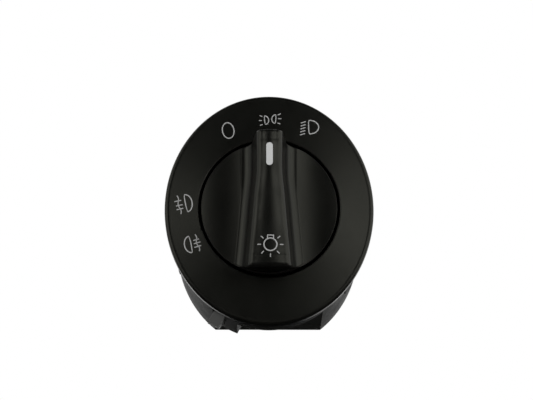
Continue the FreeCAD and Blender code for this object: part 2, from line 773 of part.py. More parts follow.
def make_leds():
    """Two lamps on the board, one under each light pipe."""
    leds = []
    for x, y in pipe_places():
        half = led_side / 2
        base = block(x - half, x + half, y - half / 2, y + half / 2, board_front, board_front + led_height * 0.6)
        dome = disc(half / 2, board_front + led_height * 0.3, board_front + led_height, x, y)
        leds.append(base.fuse(dome).removeSplitter())
    return Part.makeCompound(leds)


def blade_places():
    """Centres of the connector's blades, a row of nine over a row of eight."""
    places = []
    for row, count in enumerate(blade_rows):
        y = shroud_centre_y + blade_row_gap * (0.5 - row)
        for i in range(count):
            places.append(((i - (count - 1) / 2) * blade_pitch, y))
    return places


def make_blades():
    """Flat contact blades from the board through the cover into the connector."""
    blades = []
    for x, y in blade_places():
        half = blade_width / 2
        tip = cover_outer - blade_reach
        outline = [V(x - half, 0, board_back), V(x + half, 0, board_back), V(x + half, 0, tip + 1.0),
                   V(x + half * 0.4, 0, tip), V(x - half * 0.4, 0, tip), V(x - half, 0, tip + 1.0)]
        blade = prism(outline, V(0, blade_thickness, 0))
        blade.translate(V(0, y - blade_thickness / 2, 0))
        blades.append(blade)
    return Part.makeCompound(blades)


def make_rails():
    """Two fixed contact rails for the fog slide, standing on the back of the board."""
    rails = []
    for side in (-1, 1):
        low, high = sorted((side * rail_y, side * (rail_y + rail_thickness)))
        rails.append(block(-rail_half_width, rail_half_width, low, high, slide_back + 1, board_back))
    return Part.makeCompound(rails)


def make_fog_slide():
    """Slide behind the board, forked over the shaft's neck and guided on two posts."""
    body = block(-slide_half_width, slide_half_width, -slide_half_height, slide_half_height, slide_back, slide_front)
    room = shaft_round_radius + moving_gap
    slot = block(-room, room, -slide_half_height - 1, room, slide_back - 1, slide_front + 1)
    slot = slot.fuse(disc(room, slide_back - 1, slide_front + 1, 0, room - shaft_round_radius))
    body = body.cut(slot)
    neck = shaft_neck_radius + moving_gap
    fork = block(-room - 1, room + 1, -slide_half_height, slide_half_height, fork_middle - slide_fork / 2,
                 fork_middle + slide_fork / 2)
    fork = fork.cut(block(-neck, neck, -slide_half_height - 1, 0, slide_back, slide_front))
    fork = fork.cut(disc(neck, slide_back, slide_front))
    body = body.fuse(fork)
    for side in (-1, 1):
        body = body.cut(disc(guide_post_radius + slide_clearance, slide_back - 1, slide_front + 1,
                             side * guide_post_x, 0))
    return body.removeSplitter()


def make_fog_wipers():
    """Two sprung contact arms on the fog slide, bearing on the rails."""
    arms = []
    for side in (-1, 1):
        y = slide_half_height
        gap = rail_y - 0.1
        profile = [V(0, y, slide_front), V(0, y, slide_back), V(0, y + 0.3, slide_back),
                   V(0, y + 0.3, slide_front - 1.4), V(0, gap - 0.3, fork_middle + 0.6), V(0, gap, fork_middle + 0.3),
                   V(0, gap, fork_middle + 0.7), V(0, y + 0.6, slide_front - 0.6), V(0, y + 0.3, slide_front)]
        arm = prism(profile, V(2.4, 0, 0))
        arm.translate(V(3.4, 0, 0))
        pad = block(3.4, 5.8, y, y + 0.3, slide_back, slide_front)
        arm = arm.fuse(pad).removeSplitter()
        arms.append(arm if side > 0 else arm.mirror(V(0, 0, 0), V(0, 1, 0)))
    return Part.makeCompound(arms)


def make_rear_cover():
    """Rear cap with guide posts and the connector shroud."""
    cap = clipped_oval(drum_half_width, drum_half_height, drum_flat, cover_outer, drum_back)
    tongue = clipped_oval(drum_in_width - 0.15, drum_in_height - 0.15, drum_in_flat - 0.15, cover_outer + 1,
                          drum_back + cover_tongue)
    cap = cap.fuse(tongue)
    inner = cover_wall + 0.15 + 1.2
    cap = cap.cut(clipped_oval(drum_half_width - inner, drum_half_height - inner, drum_flat - inner,
                               cover_inner, drum_back + cover_tongue + 1))
    inside = clipped_oval(drum_half_width, drum_half_height, drum_flat, cover_outer, drum_back)
    for x, y in cover_screw_places():
        cap = cap.cut(disc(cover_boss_radius + part_gap, drum_back, drum_back + cover_tongue + 1, x, y))
        cap = cap.fuse(disc(cover_boss_radius, cover_outer, drum_back, x, y).common(inside))
        cap = cap.cut(disc(cover_screw_radius + 0.2, cover_outer - 1, drum_back + 1, x, y))
    for side in (-1, 1):
        cap = cap.fuse(disc(guide_post_radius, cover_inner - 1, board_back, side * guide_post_x, 0))
        stop = block(stop_outer - stop_width, stop_outer, -3, 3, cover_inner - 1, board_back)
        cap = cap.fuse(stop if side > 0 else stop.mirror(V(0, 0, 0), V(1, 0, 0)))
    half = shroud_height / 2
    outer = block(-shroud_half_width, shroud_half_width, shroud_centre_y - half, shroud_centre_y + half,
                  shroud_back, cover_outer + 0.5)
    upright = [e for e in outer.Edges if e.BoundBox.ZLength > 1]
    outer = outer.makeFillet(1.6, upright)
    socket = block(-shroud_half_width + shroud_wall, shroud_half_width - shroud_wall,
                   shroud_centre_y - half + shroud_wall, shroud_centre_y + half - shroud_wall,
                   shroud_back - 1, cover_outer)
    cap = cap.fuse(outer).cut(socket)
    key = block(-3, 3, shroud_centre_y + half, shroud_centre_y + half + 1.6, shroud_back + 2, cover_outer + 0.5)
    cap = cap.fuse(key)
    for x, y in blade_places():
        w = blade_width / 2 + 0.05
        t = blade_thickness / 2 + 0.05
        cap = cap.cut(block(x - w, x + w, y - t, y + t, cover_outer - 1, cover_inner + 1))
    return cap.removeSplitter()


def make_cover_screws():
    """Four screws with cross recesses that hold the rear cover."""
    screws = []
    for x, y in cover_screw_places():
        head = disc(cover_screw_head, cover_outer - cover_screw_head_height, cover_outer, x, y)
        for w, h in ((2.0, 0.35), (0.35, 2.0)):
            head = head.cut(block(x - w, x + w, y - h, y + h, cover_outer - cover_screw_head_height - 1,
                                  cover_outer - cover_screw_head_height / 2))
        shank = disc(cover_screw_radius, cover_outer - 0.5, drum_back + 9, x, y)
        screws.append(head.fuse(shank).removeSplitter())
    return Part.makeCompound(screws)


def handle_section(y, half_width, top):
    """Outline of the handle across its length: foot curve, flank, rounded edge and crown."""
    foot = knob_disc_height
    f = handle_foot_round
    r = handle_edge_round
    base = half_width + handle_draft
    c = math.sqrt(0.5)
    right = [Part.LineSegment(V(base + f, y, foot - 0.8), V(base + f, y, foot)).toShape(),
             Part.Arc(V(base + f, y, foot), V(base + f - f * c, y, foot + f - f * c), V(base, y, foot + f)).toShape(),
             Part.LineSegment(V(base, y, foot + f), V(half_width, y, top - r)).toShape(),
             Part.Arc(V(half_width, y, top - r), V(half_width - r + r * c, y, top - r + r * c),
                      V(half_width - r, y, top)).toShape()]
    left = [e.mirror(V(0, 0, 0), V(1, 0, 0)) for e in right]
    crown = Part.Arc(V(half_width - r, y, top), V(0, y, top + handle_crown), V(r - half_width, y, top)).toShape()
    bottom = Part.LineSegment(V(-base - f, y, foot - 0.8), V(base + f, y, foot - 0.8)).toShape()
    return Part.Wire(Part.__sortEdges__([bottom] + right + [crown] + left))


def handle_half_width(y):
    """Half width of the handle's top: parallel at the pointer end, then a steady flare."""
    if y >= flare_start:
        return handle_half_width_top
    share = (flare_start - y) / (flare_start + handle_reach_bottom)
    return handle_half_width_top + (handle_half_width_bottom - handle_half_width_top) * share


def make_handle():
    """Bar handle lofted through sections, its ends trimmed to the round of the knob."""
    flare_run = flare_start + handle_reach_bottom
    stations = [(handle_reach_top - back, drop) for back, drop in handle_end_drops]
    stations += [(flare_start - share * flare_run, 0.0) for share in handle_station_shares]
    stations += [(-handle_reach_bottom + back, drop) for back, drop in reversed(handle_end_drops)]
    wires = [handle_section(y, handle_half_width(y), handle_top - drop) for y, drop in stations]
    bar = Part.makeLoft(wires, True, False)
    foot_radius = knob_radius - knob_edge_round - handle_foot_inset
    limit = Part.makeCone(foot_radius, handle_reach_top + handle_crown, handle_height + 2,
                          V(0, 0, knob_disc_height - 1))
    return bar.common(limit)


def make_knob():
    """Knob: round disc with a deep skirt, scooped sides, the bar handle, boss and dogs."""
    body = disc(knob_radius, skirt_bottom, knob_disc_height)
    rim = [e for e in body.Edges if e.BoundBox.ZMin > knob_disc_height - 0.01]
    body = body.makeFillet(knob_edge_round, rim)
    scoop_x = handle_half_width_bottom + handle_draft + handle_foot_round + knob_scoop_offset
    for side in (-1, 1):
        scoop = Part.makeCylinder(knob_scoop_radius, 4 * knob_radius,
                                  V(side * scoop_x, -2 * knob_radius,
                                    knob_disc_height - knob_scoop_depth + knob_scoop_radius), V(0, 1, 0))
        body = body.cut(scoop)
    body = body.fuse(make_handle())
    body = body.cut(disc(knob_radius - knob_wall, skirt_bottom - 1, knob_disc_height - knob_roof))
    wall = handle_wall
    inner_top = handle_half_width_top - wall + 0.4
    inner_bottom = handle_half_width_bottom - wall
    upper_end = handle_reach_top - handle_cavity_end_wall
    lower_end = handle_cavity_end_wall - handle_reach_bottom
    cavity = prism([V(-inner_top, upper_end, 0), V(-inner_top, flare_start, 0), V(-inner_bottom, lower_end, 0),
                    V(inner_bottom, lower_end, 0), V(inner_top, flare_start, 0), V(inner_top, upper_end, 0)],
                   V(0, 0, handle_top - wall - knob_disc_height + knob_roof + 1))
    cavity.translate(V(0, 0, knob_disc_height - knob_roof - 1))
    body = body.cut(cavity)
    boss_low = knob_disc_height - knob_roof - knob_boss_depth
    body = body.fuse(disc(knob_boss_radius, boss_low, knob_disc_height - knob_roof / 2))
    for angle in (45, 135, 225, 315):
        rib = block(knob_boss_radius - 1, knob_radius - knob_wall / 2, -knob_rib_width / 2, knob_rib_width / 2,
                    knob_disc_height - knob_roof - knob_rib_depth, knob_disc_height - knob_roof / 2)
        body = body.fuse(turned(rib, angle))
    for angle in dog_angles:
        body = body.fuse(sector(knob_radius, knob_radius - knob_wall, angle - knob_dog_half_angle,
                                angle + knob_dog_half_angle, skirt_bottom - knob_dog_depth, skirt_bottom + 1))
    half = shaft_side / 2
    body = body.cut(block(-half, half, -half, half, boss_low - 1, knob_disc_height - knob_roof))
    body = body.cut(shaft_pin_shape(shaft_pin_radius + 0.03))
    body = body.cut(pointer_bar(knob_disc_height, handle_top + 3, 0.0))
    return body.removeSplitter()


def pointer_bar(z_low, z_high, margin):
    """Upright bar with rounded ends at the pointer's place."""
    half = pointer_width / 2 + margin
    straight = pointer_length / 2 - pointer_width / 2
    low, high = pointer_centre_y - straight, pointer_centre_y + straight
    middle = block(-half, half, low, high, z_low, z_high)
    return joined([middle, disc(half, z_low, z_high, 0, low), disc(half, z_low, z_high, 0, high)])


def make_pointer_lens():
    """White pointer bar in the handle's top, with a flange under the roof."""
    roof_low = handle_top - handle_wall
    bar = pointer_bar(roof_low - 0.5, handle_top + handle_crown, 0.0)
    flange = pointer_bar(roof_low - 1.0, roof_low, pointer_flange / 2)
    return joined([bar, flange])


def make_knob_light_guide():
    """Clear blade inside the handle that lights the pointer from below."""
    top = handle_top - handle_wall - 1.0
    return block(-pointer_width / 2, pointer_width / 2, pointer_centre_y - pointer_length / 2 + 0.6,
                 pointer_centre_y + pointer_length / 2 - 0.6, knob_disc_height - knob_roof - 3.5, top)


def shaft_pin_shape(radius):
    """Cross pin through the knob's boss and the shaft."""
    z = knob_disc_height - knob_roof - knob_boss_depth / 2
    return Part.makeCylinder(radius, 2 * knob_boss_radius, V(-knob_boss_radius, 0, z), V(1, 0, 0))


def make_shaft():
    """Square shaft with pull notches, then a round tail with a neck for the fog slide."""
    half = shaft_side / 2
    square = block(-half, half, -half, half, -shaft_square_end, knob_disc_height - knob_roof)
    tail = disc(shaft_round_radius, shaft_back, -shaft_square_end + 1)
    tail = tail.cut(tube(shaft_round_radius + 1, shaft_neck_radius, fork_middle - slide_fork / 2 - 0.1,
                         fork_middle + slide_fork / 2 + 0.1))
    shaft = square.fuse(tail)
    for step in pull_steps:
        for side in (-1, 1):
            notch = Part.makeCylinder(pull_notch_radius, 2 * shaft_side,
                                      V(side * (half + 0.05), -shaft_side, pull_clip_height - step), V(0, 1, 0))
            shaft = shaft.cut(notch)
    return shaft.cut(shaft_pin_shape(shaft_pin_radius + 0.03)).removeSplitter()


def make_push_spring():
    """Coil between the rotor's hub and the knob's boss."""
    low = hub_front
    high = knob_disc_height - knob_roof - knob_boss_depth
    spring = coil(push_spring_radius, push_spring_wire, high - low, push_spring_turns, push_spring_runs)
    spring.translate(V(0, 0, low))
    return spring


os.makedirs("parts", exist_ok=True)
save("bezel", make_bezel())
save("symbol_light_guide", make_light_guide())
save("front_housing", make_front_housing())
save("latch_ring", make_latch_ring())
save("latch_spring", make_latch_spring())
save("latch_hook_lower", make_latch_hook(hook_angles[0]))
save("latch_hook_upper", make_latch_hook(hook_angles[1]))
save("inner_plate", make_inner_plate())
save("inner_plate_screws", make_inner_screws())
save("detent_spring", make_detent_spring())
save("rotor", make_rotor())
save("rotor_clip", make_rotor_clip())
save("contact_wipers", make_wipers())
save("contact_tracks", make_tracks())
save("circuit_board", make_board())
save("symbol_lamps", make_leds())
save("connector_blades", make_blades())
save("fog_contact_rails", make_rails())
save("fog_slide", make_fog_slide())
save("fog_wipers", make_fog_wipers())
save("rear_cover", make_rear_cover())
save("cover_screws", make_cover_screws())
save("knob", make_knob())
save("pointer_lens", make_pointer_lens())
save("knob_light_guide", make_knob_light_guide())
save("knob_shaft", make_shaft())
save("shaft_pin", shaft_pin_shape(shaft_pin_radius))
save("push_spring", make_push_spring())
save("pull_clip", make_pull_clip())
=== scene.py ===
import json
import math

import bpy
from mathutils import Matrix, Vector


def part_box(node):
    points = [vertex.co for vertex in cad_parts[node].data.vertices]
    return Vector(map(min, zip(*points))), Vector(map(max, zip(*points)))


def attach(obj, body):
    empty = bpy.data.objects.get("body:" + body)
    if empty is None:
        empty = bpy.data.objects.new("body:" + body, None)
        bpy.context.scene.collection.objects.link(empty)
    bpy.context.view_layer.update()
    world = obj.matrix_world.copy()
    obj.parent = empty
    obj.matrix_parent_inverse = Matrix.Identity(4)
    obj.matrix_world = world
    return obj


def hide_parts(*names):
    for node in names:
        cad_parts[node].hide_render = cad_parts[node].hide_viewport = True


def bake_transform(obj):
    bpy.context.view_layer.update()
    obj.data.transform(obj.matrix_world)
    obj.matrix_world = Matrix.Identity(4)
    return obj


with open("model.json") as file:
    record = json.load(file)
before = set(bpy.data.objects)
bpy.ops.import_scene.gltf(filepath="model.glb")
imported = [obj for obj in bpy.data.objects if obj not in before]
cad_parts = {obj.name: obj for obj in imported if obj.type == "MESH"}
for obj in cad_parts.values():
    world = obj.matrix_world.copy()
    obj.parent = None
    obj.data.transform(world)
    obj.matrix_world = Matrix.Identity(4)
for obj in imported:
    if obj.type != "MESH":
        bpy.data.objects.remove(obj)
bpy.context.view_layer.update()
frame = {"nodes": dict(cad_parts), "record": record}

nodes = frame["nodes"]
MM = 0.001


# Helpers for modelling

def clear_selection():
    bpy.ops.object.select_all(action="DESELECT")


def pick(piece):
    clear_selection()
    piece.select_set(True)
    bpy.context.view_layer.objects.active = piece


def start_editing(piece):
    """Open the piece's mesh with every point selected."""
    pick(piece)
    bpy.ops.object.mode_set(mode="EDIT")
    bpy.ops.mesh.select_mode(type="VERT")
    bpy.ops.mesh.select_all(action="SELECT")


def stop_editing():
    bpy.ops.object.mode_set(mode="OBJECT")


def settle(piece):
    """Put the piece's place into its mesh."""
    pick(piece)
    bpy.ops.object.transform_apply(location=True, rotation=True, scale=True)


def face_outward(piece):
    start_editing(piece)
    bpy.ops.mesh.normals_make_consistent(inside=False)
    stop_editing()


def join_pieces(pieces, name):
    clear_selection()
    for piece in pieces:
        piece.select_set(True)
    bpy.context.view_layer.objects.active = pieces[0]
    bpy.ops.object.join()
    whole = bpy.context.object
    whole.name = name
    whole.data.name = name
    return whole


def copy_of_node(name, node):
    """New piece with its own copy of a CAD node's mesh."""
    piece = bpy.data.objects.new(name, nodes[node].data.copy())
    bpy.context.scene.collection.objects.link(piece)
    return piece


# Node groups

def feed(tree, socket, value):
    """Link a node's output to a socket, or set the socket to a number or colour."""
    if isinstance(value, bpy.types.NodeSocket):
        tree.links.new(value, socket)
    elif isinstance(value, tuple):
        socket.default_value = (*value, 1.0)
    else:
        socket.default_value = value


def new_group(name, inputs, outputs):
    group = bpy.data.node_groups.new(name, "ShaderNodeTree")
    for label, value in inputs.items():
        socket = group.interface.new_socket(name=label, in_out="INPUT", socket_type="NodeSocketFloat")
        socket.default_value = value
    for label, kind in outputs.items():
        group.interface.new_socket(name=label, in_out="OUTPUT", socket_type=kind)
    return group, group.nodes.new("NodeGroupInput"), group.nodes.new("NodeGroupOutput")


def add_math(tree, operation, first, second, clamp=False):
    node = tree.nodes.new("ShaderNodeMath")
    node.operation = operation
    node.use_clamp = clamp
    feed(tree, node.inputs[0], first)
    feed(tree, node.inputs[1], second)
    return node.outputs[0]


def add_noise(tree, vector, scale, detail, roughness):
    node = tree.nodes.new("ShaderNodeTexNoise")
    node.inputs["Detail"].default_value = detail
    node.inputs["Roughness"].default_value = roughness
    tree.links.new(vector, node.inputs["Vector"])
    tree.links.new(scale, node.inputs["Scale"])
    return node.outputs[0]


def object_place(tree):
    return tree.nodes.new("ShaderNodeTexCoord").outputs["Object"]


def make_moulded_grain():
    """Fine eroded grain of a mould, with broad uneven patches where the plastic flowed."""
    group, start, end = new_group(
        "moulded_grain",
        {"Grain Scale": 5200.0, "Patch Scale": 90.0},
        {"Height": "NodeSocketFloat", "Patches": "NodeSocketFloat", "Speckle": "NodeSocketFloat"})
    place = object_place(group)
    fine = add_noise(group, place, start.outputs["Grain Scale"], detail=3.0, roughness=0.7)
    cells = group.nodes.new("ShaderNodeTexVoronoi")
    cells.feature = "SMOOTH_F1"
    group.links.new(place, cells.inputs["Vector"])
    group.links.new(start.outputs["Grain Scale"], cells.inputs["Scale"])
    height = add_math(group, "MULTIPLY", cells.outputs["Distance"], fine)
    patches = add_noise(group, place, start.outputs["Patch Scale"], detail=5.0, roughness=0.6)
    group.links.new(height, end.inputs["Height"])
    group.links.new(patches, end.inputs["Patches"])
    group.links.new(fine, end.inputs["Speckle"])
    return group


BEVEL_SAMPLES = 6
EDGE_WEAR_AND_HIGHLIGHT_GAIN = 5.0


def make_wear_and_highlight_edges():
    """Mask of the outer edges, broken up as handling wears them, and the rounded normal. The mask lightens
    the edges, partly as real wear and partly as a painted highlight.
    """
    group, start, end = new_group(
        "wear_and_highlight_edges",
        {"Radius": 0.0003, "Break Up": 700.0},
        {"Mask": "NodeSocketFloat", "Rounded": "NodeSocketVector"})
    bevel = group.nodes.new("ShaderNodeBevel")
    bevel.samples = BEVEL_SAMPLES
    group.links.new(start.outputs["Radius"], bevel.inputs["Radius"])
    geometry = group.nodes.new("ShaderNodeNewGeometry")
    dot = group.nodes.new("ShaderNodeVectorMath")
    dot.operation = "DOT_PRODUCT"
    group.links.new(bevel.outputs[0], dot.inputs[0])
    group.links.new(geometry.outputs["True Normal"], dot.inputs[1])
    away = add_math(group, "SUBTRACT", 1.0, dot.outputs["Value"])
    broken = add_noise(group, object_place(group), start.outputs["Break Up"], detail=5.0, roughness=0.65)
    strong = add_math(group, "MULTIPLY", away, EDGE_WEAR_AND_HIGHLIGHT_GAIN, clamp=True)
    mask = add_math(group, "MULTIPLY", strong, broken, clamp=True)
    group.links.new(mask, end.inputs["Mask"])
    group.links.new(bevel.outputs[0], end.inputs["Rounded"])
    return group


LINE_STRETCH = (1.0, 0.08, 1.0)


def make_drawn_metal():
    """Fine lines left by drawing or rolling, with slightly uneven tone."""
    group, start, end = new_group(
        "drawn_metal",
        {"Line Scale": 1800.0, "Patch Scale": 240.0},
        {"Height": "NodeSocketFloat", "Patches": "NodeSocketFloat"})
    place = object_place(group)
    stretch = group.nodes.new("ShaderNodeMapping")
    stretch.inputs["Scale"].default_value = LINE_STRETCH
    group.links.new(place, stretch.inputs["Vector"])
    lines = add_noise(group, stretch.outputs[0], start.outputs["Line Scale"], detail=4.0, roughness=0.6)
    patches = add_noise(group, place, start.outputs["Patch Scale"], detail=4.0, roughness=0.6)
    group.links.new(lines, end.inputs["Height"])
    group.links.new(patches, end.inputs["Patches"])
    return group


moulded_grain = make_moulded_grain()
wear_and_highlight_edges = make_wear_and_highlight_edges()
drawn_metal = make_drawn_metal()


# Materials

NOISE_LOW = 0.3
NOISE_HIGH = 0.7
SPECKLE_SHARE = 0.25


def place_group(tree, group, **values):
    node = tree.nodes.new("ShaderNodeGroup")
    node.node_tree = group
    for label, value in values.items():
        node.inputs[label.replace("_", " ")].default_value = value
    return node


def span(tree, value, low, high):
    """Map the usual range of a noise onto this range."""
    node = tree.nodes.new("ShaderNodeMapRange")
    node.inputs["From Min"].default_value = NOISE_LOW
    node.inputs["From Max"].default_value = NOISE_HIGH
    node.inputs["To Min"].default_value = low
    node.inputs["To Max"].default_value = high
    tree.links.new(value, node.inputs["Value"])
    return node.outputs[0]


def blend_colours(tree, factor, first, second):
    node = tree.nodes.new("ShaderNodeMix")
    node.data_type = "RGBA"
    tree.links.new(factor, node.inputs["Factor"])
    feed(tree, node.inputs[6], first)
    feed(tree, node.inputs[7], second)
    return node.outputs[2]


def add_bump(tree, shader, height, depth, rounded=None):
    """Relief of this depth on the shader, on top of the rounded normal where there is one."""
    bump = tree.nodes.new("ShaderNodeBump")
    bump.inputs["Strength"].default_value = 1.0
    bump.inputs["Distance"].default_value = depth
    tree.links.new(height, bump.inputs["Height"])
    if rounded:
        tree.links.new(rounded, bump.inputs["Normal"])
    tree.links.new(bump.outputs["Normal"], shader.inputs["Normal"])


def start_material(name):
    material = bpy.data.materials.new(name)
    material.use_nodes = True
    tree = material.node_tree
    return material, tree, tree.nodes["Principled BSDF"]


def make_plastic(name, dark, light, worn_and_highlight, grain_scale, grain_depth, rough, edge,
                 specular=0.5, clear=0.0, tint=(1.0, 1.0, 1.0)):
    material, tree, shader = start_material(name)
    grain = place_group(tree, moulded_grain, Grain_Scale=grain_scale)
    edges = place_group(tree, wear_and_highlight_edges, Radius=edge)
    tone = blend_colours(tree, span(tree, grain.outputs["Patches"], 0.0, 1.0), dark, light)
    speck = blend_colours(tree, span(tree, grain.outputs["Speckle"], 0.0, SPECKLE_SHARE), tone, light)
    # The edges take the lighter worn tone: partly real wear, partly a painted highlight along the edges.
    colour = blend_colours(tree, edges.outputs["Mask"], speck, worn_and_highlight)
    tree.links.new(colour, shader.inputs["Base Color"])
    tree.links.new(span(tree, grain.outputs["Patches"], *rough), shader.inputs["Roughness"])
    add_bump(tree, shader, grain.outputs["Height"], grain_depth, edges.outputs["Rounded"])
    shader.inputs["Specular IOR Level"].default_value = specular
    feed(tree, shader.inputs["Specular Tint"], tint)
    shader.inputs["Transmission Weight"].default_value = clear
    return material


def make_metal(name, dark, light, line_scale, line_depth, rough):
    material, tree, shader = start_material(name)
    lines = place_group(tree, drawn_metal, Line_Scale=line_scale)
    colour = blend_colours(tree, span(tree, lines.outputs["Patches"], 0.0, 1.0), dark, light)
    tree.links.new(colour, shader.inputs["Base Color"])
    tree.links.new(span(tree, lines.outputs["Patches"], *rough), shader.inputs["Roughness"])
    add_bump(tree, shader, lines.outputs["Height"], line_depth)
    shader.inputs["Metallic"].default_value = 1.0
    return material


OLIVE = (1.0, 1.0, 0.86)

# Each plastic's worn tone, lighter than its body, is partly edge wear and partly a painted highlight on
# its edges.
HOUSING_TONES = {"dark": (0.0095, 0.0099, 0.009), "light": (0.0145, 0.0151, 0.0138),
                 "worn_and_highlight": (0.035, 0.036, 0.033)}

PLASTICS = {
    "bezel_black": dict(
        dark=(0.0014, 0.0015, 0.0013), light=(0.0022, 0.0023, 0.002), worn_and_highlight=(0.01, 0.01, 0.0095),
        grain_scale=5200.0, grain_depth=0.00001, rough=(0.29, 0.35), edge=0.0003,
        specular=0.6, tint=OLIVE),
    "knob_black": dict(
        dark=(0.0017, 0.0018, 0.0016), light=(0.0026, 0.0027, 0.0025), worn_and_highlight=(0.01, 0.01, 0.0095),
        grain_scale=6500.0, grain_depth=0.000006, rough=(0.28, 0.34), edge=0.00025,
        specular=0.6, tint=OLIVE),
    "housing_grey": dict(
        **HOUSING_TONES, grain_scale=3600.0, grain_depth=0.00002, rough=(0.5, 0.6), edge=0.0002,
        specular=0.12, tint=OLIVE),
    "cover_grey": dict(
        **HOUSING_TONES, grain_scale=3600.0, grain_depth=0.00002, rough=(0.5, 0.6), edge=0.0002,
        specular=0.25, tint=OLIVE),
    "latch_plastic": dict(
        dark=(0.08, 0.081, 0.078), light=(0.115, 0.116, 0.112), worn_and_highlight=(0.16, 0.161, 0.156),
        grain_scale=4200.0, grain_depth=0.00001, rough=(0.4, 0.5), edge=0.0002),
    "rotor_plastic": dict(
        dark=(0.62, 0.61, 0.56), light=(0.7, 0.69, 0.64), worn_and_highlight=(0.76, 0.75, 0.71),
        grain_scale=4200.0, grain_depth=0.00001, rough=(0.36, 0.46), edge=0.0002),
    "clear_plastic": dict(
        dark=(0.86, 0.88, 0.88), light=(0.9, 0.92, 0.92), worn_and_highlight=(0.94, 0.95, 0.95),
        grain_scale=4200.0, grain_depth=0.000002, rough=(0.08, 0.14), edge=0.0001, clear=0.85),
    "pointer_white": dict(
        dark=(0.42, 0.425, 0.42), light=(0.48, 0.485, 0.48), worn_and_highlight=(0.54, 0.54, 0.53),
        grain_scale=5200.0, grain_depth=0.000004, rough=(0.3, 0.38), edge=0.0002),
    "board_laminate": dict(
        dark=(0.03, 0.11, 0.05), light=(0.045, 0.15, 0.07), worn_and_highlight=(0.1, 0.22, 0.12),
        grain_scale=2600.0, grain_depth=0.00001, rough=(0.3, 0.4), edge=0.0001),
    "lamp_plastic": dict(
        dark=(0.75, 0.7, 0.5), light=(0.85, 0.8, 0.6), worn_and_highlight=(0.88, 0.85, 0.7),
        grain_scale=5200.0, grain_depth=0.000003, rough=(0.2, 0.3), edge=0.0001),
    "symbol_print": dict(
        dark=(0.27, 0.27, 0.265), light=(0.32, 0.32, 0.315), worn_and_highlight=(0.34, 0.34, 0.335),
        grain_scale=7000.0, grain_depth=0.000003, rough=(0.5, 0.6), edge=0.0001, specular=0.3),
}

METALS = {
    "spring_steel": dict(
        dark=(0.45, 0.45, 0.46), light=(0.6, 0.6, 0.61),
        line_scale=1800.0, line_depth=0.000005, rough=(0.24, 0.34)),
    "shaft_steel": dict(
        dark=(0.42, 0.42, 0.43), light=(0.56, 0.56, 0.57),
        line_scale=1500.0, line_depth=0.000008, rough=(0.26, 0.38)),
    "screw_steel": dict(
        dark=(0.4, 0.41, 0.43), light=(0.56, 0.57, 0.6),
        line_scale=1500.0, line_depth=0.000006, rough=(0.3, 0.42)),
    "contact_brass": dict(
        dark=(0.62, 0.52, 0.32), light=(0.76, 0.66, 0.42),
        line_scale=1600.0, line_depth=0.000005, rough=(0.22, 0.34)),
}

finishes = {name: make_plastic(name, **values) for name, values in PLASTICS.items()}
finishes.update({name: make_metal(name, **values) for name, values in METALS.items()})

for entry in frame["record"]["subparts"]:
    for slot in nodes[entry["node"]].material_slots:
        slot.material = finishes[entry["material_slot"]]


# Knob shell: the moulding of the knob, with tighter ends on its handle than the CAD knob has.
# Lengths are in millimetres. A pair of values is for the upper end (1) and the lower end (-1).

HANDLE_REACH = {1: 25.3, -1: 23.9}
HANDLE_HALF_WIDTH = {1: 4.65, -1: 7.75}
HANDLE_HEIGHT = 13.0
HANDLE_CROWN = 0.5
FOOT_HEIGHT = 3.4
EDGE_ROUND = 2.2
END_ROUND = {1: 1.4, -1: 1.5}
CORNER_ROUND = {1: 0.5, -1: 1.2}
END_LEAN = {1: 0.0, -1: 0.45}
SHOULDER = 1.0
SMOOTH_ANGLE = math.radians(35)

# Distances from the handle's end at which its mesh is cut across.
END_ROWS = (0.0001, 0.05, 0.16, 0.33, 0.56, 0.85, 1.2, 1.6, 2.0, 2.4, 2.9, 3.4, 3.8)

# In metres. The cut's default threshold is coarse at this size and leaves rows out.
MERGE_DISTANCE = 0.000001
CUT_THRESHOLD = 1e-7
ROW_TOLERANCE = 5e-7


def round_drop(back, radius):
    """How far a quarter round has fallen at this distance from the end."""
    if back >= radius:
        return 0.0
    return radius - math.sqrt(radius ** 2 - (radius - back) ** 2)


def cut_end_rows(shell):
    """Close the mesh and cut it across near both ends, to give it points to move."""
    start_editing(shell)
    bpy.ops.mesh.remove_doubles(threshold=MERGE_DISTANCE)
    for end in (1, -1):
        for back in END_ROWS:
            bpy.ops.mesh.select_all(action="SELECT")
            bpy.ops.mesh.bisect(plane_co=(0, 0, end * (HANDLE_REACH[end] - back) * MM),
                                plane_no=(0, 0, 1), threshold=CUT_THRESHOLD)
    stop_editing()


def row_tops(shell, end, foot):
    """Height of the handle at each row. Where a row has no top, the next one inward gives it."""
    tops = []
    for back in reversed(END_ROWS):
        level = end * (HANDLE_REACH[end] - back) * MM
        row = [-v.co.y / MM for v in shell.data.vertices if abs(v.co.z - level) < ROW_TOLERANCE]
        highest = max(row, default=0.0)
        tops.insert(0, highest if highest > foot + EDGE_ROUND + SHOULDER else tops[0])
    return tops


def top_between_rows(tops, back):
    """Height of the handle at this distance from its end."""
    row = 0
    while row < len(END_ROWS) - 2 and END_ROWS[row + 1] < back:
        row += 1
    share = min(1.0, max(0.0, (back - END_ROWS[row]) / (END_ROWS[row + 1] - END_ROWS[row])))
    return tops[row] + (tops[row + 1] - tops[row]) * share


def tighten_end(shell, end, foot):
    """Lift one end of the handle to a tight round, narrow its corners and let it lean out."""
    tops = row_tops(shell, end, foot)
    for vertex in shell.data.vertices:
        back = HANDLE_REACH[end] - end * vertex.co.z / MM
        height = -vertex.co.y / MM
        if back >= END_ROWS[-1] or height <= foot:
            continue
        top = top_between_rows(tops, back)
        back = max(back, 0.0)
        weight = min(1.0, max(0.0, (height - foot) / (top - EDGE_ROUND - foot)))
        lift = tops[-1] - round_drop(back, END_ROUND[end]) - top
        narrow = round_drop(back, CORNER_ROUND[end]) / HANDLE_HALF_WIDTH[end]
        vertex.co.y -= lift * weight * MM
        vertex.co.x *= 1.0 - narrow * weight
        vertex.co.z += end * END_LEAN[end] * weight * (1.0 - back / END_ROWS[-1]) * MM


